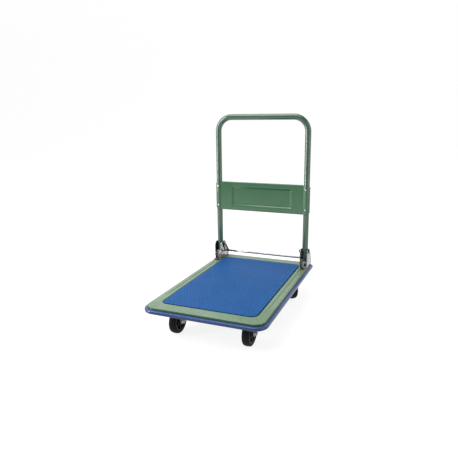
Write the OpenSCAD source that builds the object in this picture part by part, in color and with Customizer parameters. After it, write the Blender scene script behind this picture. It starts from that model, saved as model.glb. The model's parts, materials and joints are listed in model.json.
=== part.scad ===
// Folding platform cart: pressed steel deck on two fixed and two swivel casters,
// with a tube handle that folds flat over the deck.
// +X is the right side, +Y is the handle end, +Z is up, and z = 0 is the floor.

/* [Deck] */
// Width of the steel deck, without its bumper
deck_w = 460; // [440:5:600]
// Length of the steel deck, without its bumper
deck_l = 720; // [700:5:900]
// Thickness of the pressed deck sheet
deck_t = 2; // [1.5:0.5:2.5]
// Outer radius of the bend along the deck's edge
edge_r = 4; // [3.5:0.5:6]
// Depth of the turned-down edge
skirt_h = 20; // [17:1:24]
// Width of the lip turned in at the bottom of the edge
lip_w = 8; // [4:1:8]
// Plan radius of the front corners
front_r = 40; // [25:1:60]
// Plan radius of the rear corners
rear_r = 14; // [13:1:20]
// Width of the blue edge bumper
bumper_w = 10; // [7:1:14]
// Distance of the bumper's top below the deck's top
bumper_down = 8; // [6:1:9]
// Width of the pressed groove in each side border
groove_w = 5; // [3:1:7]
// Depth of the pressed groove
groove_d = 1.2; // [0.8:0.2:1.6]
// Distance of the groove's centre from the deck's side edge
groove_inset = 23; // [20:1:26]
// Distance from the deck's front edge to the start of the groove
groove_start = 140; // [100:5:200]

/* [Mat] */
// Thickness of the mat
mat_t = 4; // [3:0.5:6]
// Painted border beside the mat
side_border = 44; // [43:1:60]
// Painted border in front of the mat
front_border = 56; // [50:1:90]
// Painted border behind the mat
rear_border = 52; // [46:1:90]
// Corner radius of the mat
mat_r = 24; // [10:1:40]
// Gap between the mat and the wall of its recess
mat_gap = 4; // [2:0.5:5]
// Depth of the recess that the mat lies in
recess = 2; // [1.5:0.5:3]

/* [Underframe] */
// Thickness of the cross members that carry the casters
member_t = 3; // [2.5:0.5:4]
// Length of each cross member along the cart
member_l = 130; // [124:2:150]
// Depth of the cross members' flanges
flange_h = 12; // [8:1:14]
// Distance of each stiffening rail from the middle of the deck
rail_x = 92; // [70:1:110]
// Overall width of a stiffening rail
rail_w = 64; // [50:2:76]
// Depth of a stiffening rail
rail_h = 15; // [10:1:18]
// Sheet thickness of the rails
rail_t = 2; // [1.5:0.5:2.5]

/* [Handle] */
// Outer radius of the handle tube
tube_r = 13.5; // [12:0.5:15]
// Wall of the handle tube
tube_wall = 1.6; // [1.2:0.2:2.4]
// Height of the top bar's axis above the deck
handle_h = 673; // [620:1:700]
// Radius of the two upper bends, to the tube's axis
bend_r = 65; // [50:1:90]
// Height of the fold pivot above the deck
pivot_h = 72; // [70:1:78]
// Length of the handle's heel below the pivot
heel_l = 39; // [36:1:40]

/* [Cross panel] */
// Height of the panel's bottom edge above the deck
panel_up = 245; // [200:5:300]
// Height of the panel
panel_h = 131; // [100:1:160]
// Sheet thickness of the panel
panel_t = 1.5; // [1:0.5:2]
// Set-back of the panel's face behind the front of the tubes
panel_back = 4.5; // [2:0.5:6]
// Depth of the pressed field
field_d = 5; // [3:0.5:7]
// Plain margin at each end of the pressed field
field_side = 67; // [50:1:90]
// Plain margin above and below the pressed field
field_margin = 20; // [14:1:28]
// Depth of the panel's folded upper and lower lips
panel_lip = 11; // [6:1:12]

/* [Hinge brackets] */
// Sheet thickness of the brackets
bracket_t = 3; // [2.5:0.5:3.5]
// Free play on each side between the tube and the ears
ear_play = 0.5; // [0.4:0.1:0.8]
// Distance of the outer ear's face inside the deck's side edge
bracket_inset = 1; // [0:0.5:3]
// Height of the ears above the pivot
ear_over = 12; // [10:1:18]
// Height over which the heel stands against the front bridge
bridge_lap = 6; // [3:1:8]
// Shank radius of the pivot bolts
pivot_r = 5; // [4:0.5:6]
// Shank radius of the bracket bolts
bracket_bolt_r = 4; // [3:0.5:4]

/* [Foot release] */
// Radius of the release bar
bar_r = 4.5; // [4:0.5:5]
// Distance of the release bar behind the pivot
bar_back = 43; // [42:0.5:45]
// Distance of the release bar below the pivot, when released
bar_drop = 47; // [45:0.5:49]
// Travel of the release bar when it is trodden down
bar_travel = 12; // [8:1:12]
// Outer radius of the return springs
spring_r = 4; // [3:0.5:4.5]
// Wire radius of the return springs
wire_r = 0.8; // [0.6:0.1:1]

/* [Casters] */
// Wheel radius
wheel_r = 50; // [42:1:52]
// Width of the tyre
wheel_w = 28; // [24:1:30]
// Height of a caster's mounting face above its wheel
head_room = 27; // [26:1:40]
// Distance of the casters' centres from the deck's sides
caster_side = 84; // [80:1:105]
// Distance of the casters' centres from the deck's ends
caster_inset = 104; // [100:1:120]
// Trail of the swivel casters
trail = 39; // [32:1:42]
// Angle that the swivel casters stand turned
swivel_turn = 38; // [-180:1:180]
// Side clearance between the tyre and each fork leg
tyre_gap = 3; // [2:0.5:4]
// Thickness of the fork legs and caster plates
fork_t = 3; // [2.5:0.5:3]
// Radius of the axle bolts
axle_r = 5; // [4:0.5:5]
// Caster bolt spacing across the cart
bolt_dx = 55; // [54:1:60]
// Caster bolt spacing along the cart
bolt_dy = 80; // [78:1:84]
// Radius of the caster bolts
bolt_r = 4; // [3:0.5:4]

/* [Hidden] */
$fn = 64;

// Clearances
running = 0.05;
hole_play = 0.2;
seat_gap = 0.3;
nose_gap = 4.5;
rear_gap = 0.5;
over = 1;
skin = 0.01;

// Colours
green = [0.33, 0.48, 0.39];
sage = [0.58, 0.68, 0.54];
mat_blue = [0.20, 0.38, 0.66];
bumper_blue = [0.25, 0.33, 0.64];
zinc = [0.72, 0.73, 0.75];
chrome = [0.82, 0.84, 0.87];
dark_steel = [0.35, 0.36, 0.38];
rubber = [0.09, 0.09, 0.10];
black_plastic = [0.13, 0.13, 0.14];

// Levels
caster_h = 2 * wheel_r + head_room;
pan_z = caster_h + member_t;
deck_top = pan_z + deck_t + recess;
pivot_z = deck_top + pivot_h;
top_z = deck_top + handle_h;
bumper_drop = deck_t;
bumper_r = min(0.6 * bumper_w, 0.45 * (skirt_h + bumper_drop - bumper_down));
bar_h = pivot_h - bar_drop;
ear_h = pivot_h + ear_over;
bridge_h = pivot_h - heel_l + bridge_lap;

// Plan of the deck, its recess and its mat
deck_y = deck_l / 2;
mat_w = deck_w - 2 * side_border;
mat_y0 = -deck_y + front_border;
mat_y1 = deck_y - rear_border;
pan_w = mat_w + 2 * mat_gap;
groove_x = deck_w / 2 - groove_inset;

// Handle and bracket stations
base_front = 56;
base_rear = bar_back + 17;
ear_front = 32;
leg_y = deck_y - base_rear - rear_gap;
ear_gap = 2 * (tube_r + ear_play);
bracket_x = deck_w / 2 - bracket_inset - bracket_t - ear_gap / 2;
bracket_w = ear_gap + 2 * bracket_t;
front_bolt = -42;
rear_bolt = 18;
bar_y = leg_y + bar_back;
bar_z = deck_top + bar_h;
bush_r = pivot_r + 2;
nut_t = 5;
bolt_end = bracket_w / 2 + nut_t + 6;
spring_x = bracket_x - bolt_end + 3;
bar_half = bracket_x + ear_gap / 2 - ear_play;
backing_t = 3;
backing_w = 26;
backing_x = deck_w / 2 - edge_r - seat_gap - backing_w / 2;
heel_cap = 2.5;
heel_chamfer = 2;
heel_z = pivot_z - heel_l + heel_cap;
nose_r = norm([tube_r - heel_chamfer, heel_l]) + nose_gap;
latch_t = 6;

// Fastener sizes, from the shank radius
function head_af(r) = r * 3.3;
function head_h(r) = r * 1.3;
function nut_h(r) = r * 1.6;

// Cross panel
rivet_r = 2.4;
rivet_inset = 20;
panel_z = deck_top + panel_up;
saddle_r = tube_r + panel_t;
panel_y = leg_y - saddle_r + panel_back;
field_slope = 8;

// Casters
fork_gap = wheel_w + 2 * tyre_gap;
caster_x = deck_w / 2 - caster_side;
caster_y = deck_y - caster_inset;
plate_z = caster_h - fork_t;
plate_w = bolt_dx + 23;
plate_l = bolt_dy + 24;
plate_r = 8;
bolt_head_r = bolt_r + 4.5;
boss_r = 12.5;
sleeve_r = axle_r + 1.5;
bearing_r = sleeve_r + 3.5;
hub_w = fork_gap - 1;
core_r = wheel_r - 12;
ball_r = 3;
ball_ring = 25;
ball_count = 18;
race_gap = 4;
crown_z = plate_z - race_gap - fork_t;
crown_r = 34;
kingpin_r = 6;
shield_in = crown_r + 2.5;
shield_out = shield_in + 1.5;

// ---- Outlines ----

function unit(v) = v / norm(v);

// Arc that rounds the corner b between a and c by the radius r
function corner_arc(a, b, c, r, steps) =
    let (
        u = unit(a - b),
        w = unit(c - b),
        half = acos(u * w) / 2,
        centre = b + unit(u + w) * r / sin(half),
        from = b + u * r / tan(half) - centre,
        to = b + w * r / tan(half) - centre,
        start = atan2(from.y, from.x),
        sweep = atan2(cross(from, to), from * to)
    )
    [for (i = [0 : steps]) centre + r * [cos(start + sweep * i / steps), sin(start + sweep * i / steps)]];

function flat(p) = [p.x, p.y];

// Outline through corners [x, y, radius]; a radius of 0 leaves the corner sharp
function rounded(p, steps = 8) =
    [for (i = [0 : len(p) - 1])
        let (before = flat(p[(i + len(p) - 1) % len(p)]), after = flat(p[(i + 1) % len(p)]))
        each p[i].z == 0 ? [flat(p[i])] : corner_arc(before, flat(p[i]), after, p[i].z, steps)];

// Plan shape centred on X, from y0 to y1, with corner radius r0 at y0 and r1 at y1
module plan(w, y0, y1, r0, r1) {
    translate([-w / 2 + r0, y0]) square([w - 2 * r0, y1 - y0 - r1]);
    translate([-w / 2 + r1, y0 + r0]) square([w - 2 * r1, y1 - y0 - r0]);
    translate([-w / 2, y0 + r0]) square([w, y1 - y0 - r0 - r1]);
    for (s = [-1, 1]) {
        translate([s * (w / 2 - r0), y0 + r0]) circle(r0);
        translate([s * (w / 2 - r1), y1 - r1]) circle(r1);
    }
}

// Deck outline moved inward by d
module deck_plan(d) plan(deck_w - 2 * d, -deck_y + d, deck_y - d, front_r - d, rear_r - d);

// Recess outline moved outward by d
module recess_plan(d)
    plan(pan_w + 2 * d, mat_y0 - mat_gap - d, mat_y1 + mat_gap + d, mat_r + mat_gap + d, mat_r + mat_gap + d);

// One straight run of an edge profile: x is outward, y is up
module run(length) rotate([90, 0, 0]) linear_extrude(length) children();

// One quarter turn of an edge profile round a corner of radius r
module turn(r) rotate_extrude(angle = 90) translate([r, 0]) children();

// Carries an edge profile all the way round the deck
module deck_rim() {
    side = deck_l - front_r - rear_r;
    for (s = [0, 1]) mirror([s, 0, 0]) {
        translate([deck_w / 2, deck_y - rear_r, 0]) run(side) children();
        translate([deck_w / 2 - front_r, -deck_y + front_r, 0]) rotate([0, 0, -90]) turn(front_r) children();
        translate([deck_w / 2 - rear_r, deck_y - rear_r, 0]) turn(rear_r) children();
    }
    translate([deck_w / 2 - front_r, -deck_y, 0]) rotate([0, 0, -90]) run(deck_w - 2 * front_r) children();
    translate([-deck_w / 2 + rear_r, deck_y, 0]) rotate([0, 0, 90]) run(deck_w - 2 * rear_r) children();
}

// ---- Shared fasteners, along +Z with the seat of the head at z = 0 ----

module hex_head(r) cylinder(r = head_af(r) / 2 / cos(30), h = head_h(r), $fn = 6);

module hex_nut(r, h) difference() {
    cylinder(r = head_af(r) / 2 / cos(30), h = h, $fn = 6);
    translate([0, 0, -over]) cylinder(r = r + running, h = h + 2 * over);
}

// ---- Deck ----

module edge_profile() {
    intersection() {
        translate([-edge_r, -edge_r]) difference() {
            circle(edge_r);
            circle(edge_r - deck_t);
        }
        translate([-edge_r, -edge_r]) square(edge_r);
    }
    translate([-deck_t, -skirt_h]) square([deck_t, skirt_h - edge_r]);
    translate([-lip_w, -skirt_h]) square([lip_w, deck_t]);
}

// Pressed groove of half width r along one side border
module groove(r) {
    y0 = -deck_y + groove_start;
    y1 = leg_y - base_front - groove_w;
    translate([groove_x - r, y0]) square([2 * r, y1 - y0]);
    for (y = [y0, y1]) translate([groove_x, y]) circle(r);
}

module at_bracket_bolts() for (s = [-1, 1], y = [front_bolt, rear_bolt])
    translate([s * bracket_x, leg_y + y, deck_top]) children();

module at_casters() for (x = [-caster_x, caster_x], y = [-caster_y, caster_y])
    translate([x, y, 0]) children();

module at_plate_bolts() for (x = [-bolt_dx / 2, bolt_dx / 2], y = [-bolt_dy / 2, bolt_dy / 2])
    translate([x, y, 0]) children();

module deck_plate() color(sage) difference() {
    union() {
        translate([0, 0, deck_top]) deck_rim() edge_profile();
        translate([0, 0, deck_top - deck_t]) linear_extrude(deck_t) deck_plan(edge_r);
        translate([0, 0, pan_z]) linear_extrude(recess + deck_t) recess_plan(deck_t);
        for (s = [0, 1]) mirror([s, 0, 0]) translate([0, 0, deck_top - deck_t - groove_d])
            linear_extrude(deck_t) groove(groove_w / 2 + deck_t / 2);
    }
    translate([0, 0, pan_z + deck_t]) linear_extrude(recess + over) recess_plan(0);
    for (s = [0, 1]) mirror([s, 0, 0])
        translate([0, 0, deck_top - groove_d]) linear_extrude(deck_t) groove(groove_w / 2);
    at_casters() at_plate_bolts() translate([0, 0, pan_z - over])
        cylinder(r = bolt_head_r + hole_play, h = deck_t + 2 * over);
    at_bracket_bolts() cylinder(r = bracket_bolt_r + hole_play, h = 3 * deck_t, center = true);
}

module cross_member(y) color(sage) translate([0, y, 0]) difference() {
    union() {
        translate([-pan_w / 2, -member_l / 2, caster_h]) cube([pan_w, member_l, member_t]);
        for (y = [-member_l / 2, member_l / 2 - member_t])
            translate([-pan_w / 2, y, caster_h - flange_h]) cube([pan_w, member_t, flange_h]);
    }
    for (x = [-caster_x, caster_x]) translate([x, 0, caster_h - over])
        at_plate_bolts() cylinder(r = bolt_r + hole_play, h = member_t + 2 * over);
}

module front_cross_member() cross_member(-caster_y);
module rear_cross_member() cross_member(caster_y);

// Two hat-section rails between the cross members
module deck_rails() color(sage) for (s = [-1, 1]) {
    length = 2 * (caster_y - member_l / 2 - seat_gap);
    crown_w = rail_w * 0.55;
    translate([s * rail_x, length / 2, pan_z]) rotate([90, 0, 0]) linear_extrude(length) difference() {
        union() {
            translate([-rail_w / 2, -rail_t]) square([rail_w, rail_t]);
            translate([-crown_w / 2, -rail_h]) square([crown_w, rail_h]);
        }
        translate([-crown_w / 2 + rail_t, -rail_h + rail_t]) square([crown_w - 2 * rail_t, rail_h]);
    }
}

module deck_mat() color(mat_blue)
    translate([0, 0, pan_z + deck_t]) linear_extrude(mat_t) plan(mat_w, mat_y0, mat_y1, mat_r, mat_r);

module bumper_strip() color(bumper_blue) translate([0, 0, deck_top]) deck_rim()
    polygon(rounded([
        [0, -bumper_down, 0], [bumper_w, -bumper_down, bumper_r],
        [bumper_w, -skirt_h - bumper_drop, bumper_r], [-lip_w + 1, -skirt_h - bumper_drop, 0],
        [-lip_w + 1, -skirt_h, 0], [0, -skirt_h, 0]
    ]));

// ---- Hinge brackets ----

// Side view of an ear: x runs toward the rear from the pivot, y is up from the deck
module ear_outline() polygon(rounded([
    [-ear_front, 0, 0], [-ear_front + 3, ear_h - 3, 12], [-10, ear_h, 10], [16, ear_h, 16],
    [bar_back + 11, bar_h + 11, 20], [base_rear, 0, 0]
]));

// Slot that the release bar slides in
module bar_slot() {
    r = bar_r + seat_gap;
    for (z = [bar_h, bar_h - bar_travel]) translate([bar_back, z]) circle(r);
    translate([bar_back - r, bar_h - bar_travel]) square([2 * r, bar_travel]);
}

// Extrudes a side view across the cart, from x0 over the width w
module across(x0, w) translate([x0, leg_y, deck_top]) rotate([90, 0, 90]) linear_extrude(w) children();

// Front view of the bridge between the ears, with its arched opening
module bridge_outline() difference() {
    arch_r = ear_gap / 3;
    arch_h = bridge_h * 0.45;
    translate([-ear_gap / 2 - over / 2, 0]) square([ear_gap + over, bridge_h]);
    translate([-arch_r, bracket_t]) square([2 * arch_r, arch_h - bracket_t]);
    translate([0, arch_h]) circle(arch_r);
}

module hinge_bracket() color(zinc) difference() {
    union() {
        across(bracket_x - bracket_w / 2, bracket_t) ear_outline();
        across(bracket_x + ear_gap / 2, bracket_t) ear_outline();
        translate([bracket_x, leg_y, deck_top]) linear_extrude(bracket_t)
            plan(bracket_w, -base_front, base_rear, 8, 1);
        translate([bracket_x, leg_y - tube_r - ear_play, deck_top]) rotate([90, 0, 0])
            linear_extrude(bracket_t) bridge_outline();
    }
    across(bracket_x - bracket_w, 2 * bracket_w) translate([0, pivot_h]) circle(pivot_r + running);
    across(bracket_x - bracket_w / 2 - over, bracket_t + 2 * over) bar_slot();
    for (y = [front_bolt, rear_bolt]) translate([bracket_x, leg_y + y, deck_top - over])
        cylinder(r = bracket_bolt_r + hole_play, h = bracket_t + 2 * over);
}

module hinge_bracket_right() hinge_bracket();
module hinge_bracket_left() mirror([1, 0, 0]) hinge_bracket();

// Plates under the deck that spread the load of the bracket bolts
module bracket_backing_plates() color(zinc) for (s = [0, 1]) mirror([s, 0, 0]) difference() {
    translate([backing_x, leg_y, deck_top - deck_t - backing_t]) linear_extrude(backing_t)
        plan(backing_w, -base_front, rear_bolt + 14, 4, 4);
    for (y = [front_bolt, rear_bolt]) translate([bracket_x, leg_y + y, deck_top - 4 * deck_t - backing_t])
        cylinder(r = bracket_bolt_r + hole_play, h = 6 * deck_t);
}

module bracket_bolts() color(zinc) at_bracket_bolts() translate([0, 0, bracket_t]) {
    grip = bracket_t + deck_t + backing_t + nut_h(bracket_bolt_r) + 2;
    hex_head(bracket_bolt_r);
    translate([0, 0, -grip]) cylinder(r = bracket_bolt_r, h = grip + over);
}

module bracket_nuts() color(zinc) at_bracket_bolts()
    translate([0, 0, -deck_t - backing_t - nut_h(bracket_bolt_r)])
        hex_nut(bracket_bolt_r, nut_h(bracket_bolt_r));

// Pivot bolt of the right bracket: its head is outside, its grooved end points inward
module pivot_bolt() color(chrome) translate([bracket_x, leg_y, pivot_z]) rotate([0, 90, 0]) difference() {
    union() {
        translate([0, 0, bracket_w / 2]) hex_head(pivot_r);
        translate([0, 0, -bolt_end]) cylinder(r = pivot_r, h = bolt_end + bracket_w / 2 + over);
    }
    translate([0, 0, -bolt_end + 3]) rotate_extrude() translate([pivot_r + wire_r / 2, 0]) circle(wire_r * 2);
}

module pivot_bolt_right() pivot_bolt();
module pivot_bolt_left() mirror([1, 0, 0]) pivot_bolt();

module pivot_nuts() color(dark_steel) for (s = [0, 1]) mirror([s, 0, 0])
    translate([bracket_x - bracket_w / 2 - nut_t, leg_y, pivot_z]) rotate([0, 90, 0]) hex_nut(pivot_r, nut_t);

// ---- Handle ----

// Solid bar of radius r along the handle's path, with its legs ending at z0
module handle_path(r, z0) {
    reach = bracket_x - bend_r;
    for (s = [0, 1]) mirror([s, 0, 0]) {
        translate([bracket_x, leg_y, z0]) cylinder(r = r, h = top_z - bend_r - z0);
        translate([reach, leg_y, top_z - bend_r]) rotate([90, 0, 0]) turn(bend_r) circle(r);
    }
    translate([-reach, leg_y, top_z]) rotate([0, 90, 0]) cylinder(r = r, h = 2 * reach);
}

module at_rivets() for (s = [-1, 1], z = [rivet_inset, panel_h - rivet_inset])
    translate([s * bracket_x, leg_y, panel_z + z]) rotate([90, 0, 0]) children();

module handle_tube() color(green) difference() {
    handle_path(tube_r, heel_z);
    handle_path(tube_r - tube_wall, heel_z - over);
    for (s = [-1, 1]) translate([s * bracket_x, leg_y, pivot_z]) rotate([0, 90, 0])
        cylinder(r = bush_r, h = 3 * tube_r, center = true);
    at_rivets() cylinder(r = rivet_r, h = 2 * tube_r);
}

module pivot_bushes() color(dark_steel) for (s = [-1, 1])
    translate([s * bracket_x, leg_y, pivot_z]) rotate([0, 90, 0]) difference() {
        cylinder(r = bush_r, h = ear_gap - ear_play, center = true);
        cylinder(r = pivot_r + running, h = 2 * ear_gap, center = true);
    }

module heel_plugs() color(black_plastic) for (s = [-1, 1])
    translate([s * bracket_x, leg_y, heel_z - heel_cap]) {
        cylinder(r1 = tube_r - heel_chamfer, r2 = tube_r, h = heel_cap);
        cylinder(r = tube_r - tube_wall, h = heel_cap + 18);
    }

// Solid trapezoid from x = -a to a at y0, narrowing by the slope over the depth d
function trapezoid(a, y0, d, slope) = [[-a, y0], [a, y0], [a - slope, y0 + d], [-a + slope, y0 + d]];

// Pressed field grown by g, from the panel's face back over the depth d
module field(g, d) intersection() {
    half_w = bracket_x - field_side + g;
    half_h = panel_h / 2 - field_margin + g;
    slope = field_slope * d / field_d;
    translate([0, 0, -panel_h / 2]) linear_extrude(panel_h)
        polygon(trapezoid(half_w, 0, d, slope));
    rotate([0, -90, 0]) translate([0, 0, -bracket_x]) linear_extrude(2 * bracket_x)
        polygon(trapezoid(half_h, 0, d, slope));
}

// Saddle that wraps the front half of a leg
module saddle() translate([bracket_x, leg_y, panel_z]) difference() {
    intersection() {
        cylinder(r = saddle_r, h = panel_h);
        translate([-saddle_r - over, 0, 0]) rotate([90, 0, 0]) linear_extrude(2 * saddle_r)
            polygon([
                [0, 0], [saddle_r, 0], [2 * saddle_r + over, saddle_r / 2],
                [2 * saddle_r + over, panel_h - saddle_r / 2], [saddle_r, panel_h], [0, panel_h]
            ]);
    }
    translate([0, 0, -over]) cylinder(r = tube_r, h = panel_h + 2 * over);
}

module cross_panel() color(green) difference() {
    union() {
        difference() {
            translate([-bracket_x, panel_y, panel_z]) cube([2 * bracket_x, panel_t, panel_h]);
            for (s = [-1, 1]) translate([s * bracket_x, leg_y, panel_z - over])
                cylinder(r = tube_r + panel_t / 2, h = panel_h + 2 * over);
        }
        for (s = [0, 1]) mirror([s, 0, 0]) saddle();
        for (z = [0, panel_h - panel_t]) translate([-bracket_x + saddle_r + over, panel_y, panel_z + z])
            cube([2 * (bracket_x - saddle_r - over), panel_lip, panel_t]);
        translate([0, panel_y, panel_z + panel_h / 2]) field(panel_t, field_d + panel_t);
    }
    translate([0, panel_y - skin, panel_z + panel_h / 2]) field(0, field_d + skin);
    at_rivets() cylinder(r = rivet_r, h = 2 * tube_r);
}

module panel_rivets() color(chrome) at_rivets() {
    head_h = 2.2;
    head_r = 2 * rivet_r;
    translate([0, 0, saddle_r]) intersection() {
        cylinder(r = head_r, h = head_h);
        translate([0, 0, head_h - head_r * 1.6]) sphere(head_r * 1.6);
    }
    translate([0, 0, tube_r - tube_wall - 3]) cylinder(r = rivet_r, h = panel_t + tube_wall + 3 + 0.5);
}

// ---- Foot release ----

module release_bar() color(chrome) translate([-bar_half, bar_y, bar_z]) rotate([0, 90, 0])
    cylinder(r = bar_r, h = 2 * bar_half);

// Point of an ear's side view at the distance r from the pivot, a degrees toward the rear from straight down
function from_pivot(a, r) = [r * sin(a), pivot_h - r * cos(a)];

// Corner of an outline at the point p, rounded by the radius r
function corner(p, r) = [p.x, p.y, r];

// Latch plate on the right end of the bar; its nose stands behind the heel
module latch_plate() color(zinc) {
    boss = bar_r + 3.5;
    across(bracket_x - latch_t / 2, latch_t) difference() {
        union() {
            translate([bar_back, bar_h]) circle(boss);
            polygon(rounded([
                [bar_back + 2, bar_h + boss - 0.2, 0], corner(from_pivot(37, nose_r), 3),
                corner(from_pivot(30, nose_r), 2), corner(from_pivot(26, nose_r + 8.5), 2),
                [bar_back, bar_h - boss + 0.5, 0]
            ]));
        }
        translate([bar_back, bar_h]) circle(bar_r);
    }
}

module latch_plate_right() latch_plate();
module latch_plate_left() mirror([1, 0, 0]) latch_plate();

// Wire ring of a spring hook round a rod of radius r that lies across the cart
module hook(r) rotate([0, 90, 0]) rotate_extrude() translate([r + wire_r + seat_gap / 2, 0]) circle(wire_r);

// Return spring from the pivot bolt's end to the release bar
module release_spring() color(chrome) {
    span = [bar_back, bar_h - pivot_h];
    lean = atan2(span.x, span.y);
    pull = norm(span);
    lead = 13;
    translate([spring_x, leg_y, pivot_z]) {
        hook(pivot_r - wire_r);
        rotate([-lean, 0, 0]) {
            translate([0, 0, lead]) cylinder(r = spring_r, h = pull - 2 * lead);
            translate([0, 0, pivot_r + wire_r]) cylinder(r = wire_r, h = lead - pivot_r);
            translate([0, 0, pull - lead - over]) cylinder(r = wire_r, h = lead - bar_r);
        }
    }
    translate([spring_x, bar_y, bar_z]) hook(bar_r);
}

module release_spring_right() release_spring();
module release_spring_left() mirror([1, 0, 0]) release_spring();

// ---- Casters, modelled about their own vertical axis ----

module caster_plate() translate([0, 0, plate_z]) difference() {
    linear_extrude(fork_t) plan(plate_w, -plate_l / 2, plate_l / 2, plate_r, plate_r);
    at_plate_bolts() translate([0, 0, -over]) cylinder(r = bolt_r + hole_play, h = fork_t + 2 * over);
}

// Groove of the ball race between the top plate and the fork
module ball_race() translate([0, 0, plate_z - race_gap / 2])
    rotate_extrude() translate([ball_ring, 0]) circle(ball_r + seat_gap / 2);

// Both legs of a fork, from a side view of one leg: x is along the cart, y is up
module fork_legs() for (x = [-fork_gap / 2 - fork_t, fork_gap / 2])
    translate([x, 0, 0]) rotate([90, 0, 90]) linear_extrude(fork_t) children();

module axle_hole(y) translate([0, y, wheel_r]) rotate([0, 90, 0])
    cylinder(r = axle_r + hole_play / 2, h = 2 * fork_gap, center = true);

module fixed_fork() color(zinc) difference() {
    union() {
        caster_plate();
        fork_legs() {
            translate([0, wheel_r]) circle(boss_r);
            polygon([
                [-30, plate_z + over], [30, plate_z + over], [30, plate_z - 12], [boss_r, wheel_r],
                [-boss_r, wheel_r], [-30, plate_z - 12]
            ]);
        }
    }
    axle_hole(0);
}

module swivel_fork() color(zinc) difference() {
    union() {
        translate([0, 0, crown_z]) cylinder(r = crown_r, h = fork_t);
        fork_legs() {
            translate([-trail, wheel_r]) circle(boss_r);
            polygon([
                [24, crown_z + over], [-27, crown_z + over], [-trail - boss_r, wheel_r],
                [-trail + boss_r * 0.6, wheel_r - boss_r * 0.8], [24, crown_z - 14]
            ]);
        }
    }
    translate([0, 0, crown_z - over]) cylinder(r = kingpin_r + running, h = fork_t + 2 * over);
    ball_race();
    axle_hole(-trail);
}

module swivel_top_plate() color(zinc) difference() {
    union() {
        caster_plate();
        translate([0, 0, crown_z - 1]) difference() {
            cylinder(r = shield_out, h = plate_z - crown_z + 2);
            translate([0, 0, -over]) cylinder(r = shield_in, h = plate_z - crown_z + 1 + over);
        }
    }
    translate([0, 0, plate_z - over]) cylinder(r = kingpin_r, h = fork_t + 2 * over);
    ball_race();
}

module kingpin() color(dark_steel) {
    translate([0, 0, crown_z - 4 - seat_gap]) cylinder(r = kingpin_r * 1.8, h = 4);
    translate([0, 0, crown_z - 1]) cylinder(r = kingpin_r, h = caster_h - crown_z + 1);
}

module swivel_balls() color(chrome) for (i = [1 : ball_count])
    rotate([0, 0, i * 360 / ball_count]) translate([ball_ring, 0, plate_z - race_gap / 2]) sphere(ball_r);

// Wheel parts, about an axle along X at the origin
module axle() color(zinc) rotate([0, -90, 0]) {
    half = fork_gap / 2 + fork_t;
    thread = nut_h(axle_r) + 2;
    translate([0, 0, half]) hex_head(axle_r);
    translate([0, 0, -half - thread]) cylinder(r = axle_r, h = 2 * half + thread + over);
}

module axle_nut() color(zinc) translate([fork_gap / 2 + fork_t, 0, 0]) rotate([0, 90, 0]) {
    hex_nut(axle_r, nut_h(axle_r));
    difference() {
        cylinder(r = boss_r - 2, h = 2);
        translate([0, 0, -over]) cylinder(r = axle_r + running, h = 2 + 2 * over);
    }
}

module axle_sleeve() color(dark_steel) rotate([0, 90, 0]) difference() {
    cylinder(r = sleeve_r, h = fork_gap, center = true);
    cylinder(r = axle_r + running, h = fork_gap + 2 * over, center = true);
}

module bearing() color(chrome) rotate([0, 90, 0]) difference() {
    cylinder(r = bearing_r, h = hub_w - 1, center = true);
    cylinder(r = sleeve_r + running, h = hub_w + over, center = true);
}

module wheel_core() color(black_plastic) rotate([0, 90, 0]) {
    rim_w = wheel_w - 2;
    web_w = 6;
    rim_in = core_r - 4;
    hub_r = bearing_r + 4;
    difference() {
        union() {
            difference() {
                cylinder(r = core_r, h = rim_w, center = true);
                cylinder(r = rim_in, h = rim_w + over, center = true);
            }
            cylinder(r = rim_in + over, h = web_w, center = true);
            cylinder(r = hub_r, h = hub_w, center = true);
            for (i = [0 : 5]) rotate([0, 0, i * 60])
                translate([hub_r - over, -1.5, -rim_w / 2 + 2]) cube([rim_in - hub_r + 2, 3, rim_w - 4]);
        }
        cylinder(r = bearing_r, h = hub_w + 2 * over, center = true);
    }
}

module tyre() color(rubber) rotate([0, 90, 0]) rotate_extrude() intersection() {
    crown = wheel_w * 1.5;
    polygon(rounded([
        [core_r, -wheel_w / 2, 1], [wheel_r, -wheel_w / 2, 4],
        [wheel_r, wheel_w / 2, 4], [core_r, wheel_w / 2, 1]
    ]));
    translate([wheel_r - crown, 0]) circle(crown, $fn = 256);
}

// Places a part at the front or rear station of one side: s is -1 for left, 1 for right
module at_front(s) translate([s * caster_x, -caster_y, 0]) children();
module at_rear(s) translate([s * caster_x, caster_y, 0]) children();
module front_wheel_at(s) at_front(s) translate([0, 0, wheel_r]) children();
module rear_turned(s) at_rear(s) rotate([0, 0, swivel_turn]) children();
module rear_wheel_at(s) rear_turned(s) translate([0, -trail, wheel_r]) children();

module front_fork_left() at_front(-1) fixed_fork();
module front_fork_right() at_front(1) fixed_fork();
module front_axles() for (s = [-1, 1]) front_wheel_at(s) axle();
module front_axle_nuts() for (s = [-1, 1]) front_wheel_at(s) axle_nut();
module front_axle_sleeves() for (s = [-1, 1]) front_wheel_at(s) axle_sleeve();
module front_tyre_left() front_wheel_at(-1) tyre();
module front_tyre_right() front_wheel_at(1) tyre();
module front_wheel_core_left() front_wheel_at(-1) wheel_core();
module front_wheel_core_right() front_wheel_at(1) wheel_core();
module front_bearing_left() front_wheel_at(-1) bearing();
module front_bearing_right() front_wheel_at(1) bearing();
module rear_top_plate_left() at_rear(-1) swivel_top_plate();
module rear_top_plate_right() at_rear(1) swivel_top_plate();
module rear_kingpin_left() at_rear(-1) kingpin();
module rear_kingpin_right() at_rear(1) kingpin();
module rear_swivel_balls_left() at_rear(-1) swivel_balls();
module rear_swivel_balls_right() at_rear(1) swivel_balls();
module rear_fork_left() rear_turned(-1) swivel_fork();
module rear_fork_right() rear_turned(1) swivel_fork();
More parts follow.
